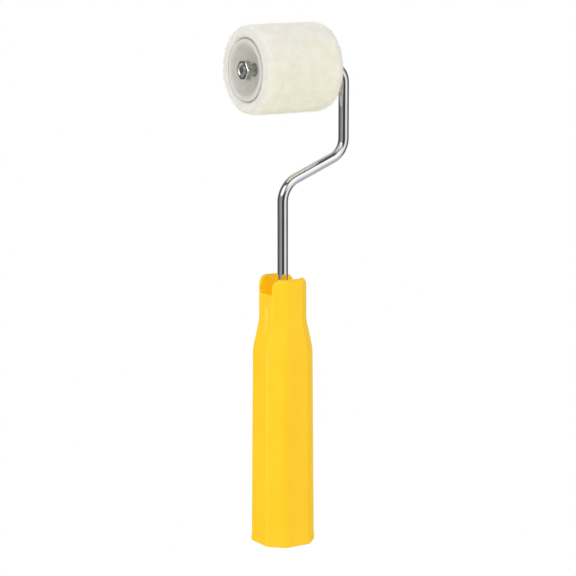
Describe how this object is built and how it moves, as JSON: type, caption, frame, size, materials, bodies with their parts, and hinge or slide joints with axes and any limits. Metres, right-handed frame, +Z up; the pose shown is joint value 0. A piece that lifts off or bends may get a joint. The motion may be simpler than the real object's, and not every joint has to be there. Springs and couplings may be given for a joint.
{
  "type": "paint roller",
  "caption": "Mini trim paint roller: fleece roller between dished caps, free to spin on a cranked wire frame with a threaded end, in an octagonal moulded handle with a saddle slot.",
  "frame": {"origin": "centre of the handle's flat foot, on the handle's axis, where its two ribs cross", "axes": "+Z up the handle, X along the roller's axis with the nut at -X, Y across the handle"},
  "size_m": [0.0736, 0.0518, 0.3086],
  "materials": {
    "handle_plastic": "moulded, satin gloss, warm yellow",
    "chromed_wire": "bright plated wire",
    "nut_steel": "zinc plated",
    "washer_steel": "zinc plated",
    "core_plastic": "plain extruded tube",
    "fleece": "short dense cream nap",
    "cap_plastic": "moulded, natural off-white"
  },
  "bodies": {
    "frame": {"handle": "handle_plastic", "frame_rod": "chromed_wire", "hex_nut": "nut_steel"},
    "washer": {"stop_washer": "washer_steel"},
    "roller": {"roller_core": "core_plastic", "fleece_cover": "fleece", "outer_end_cap": "cap_plastic", "inner_end_cap": "cap_plastic"}
  },
  "joints": [
    {"name": "roller_float", "type": "slide", "parent": "frame", "child": "washer", "axis": [-1, 0, 0], "range_m": [0, 0.0036]},
    {"name": "roller_spin", "type": "hinge", "parent": "washer", "child": "roller", "pos_m": [0.0003, 0, 0.2827], "axis": [1, 0, 0], "continuous": true}
  ]
}
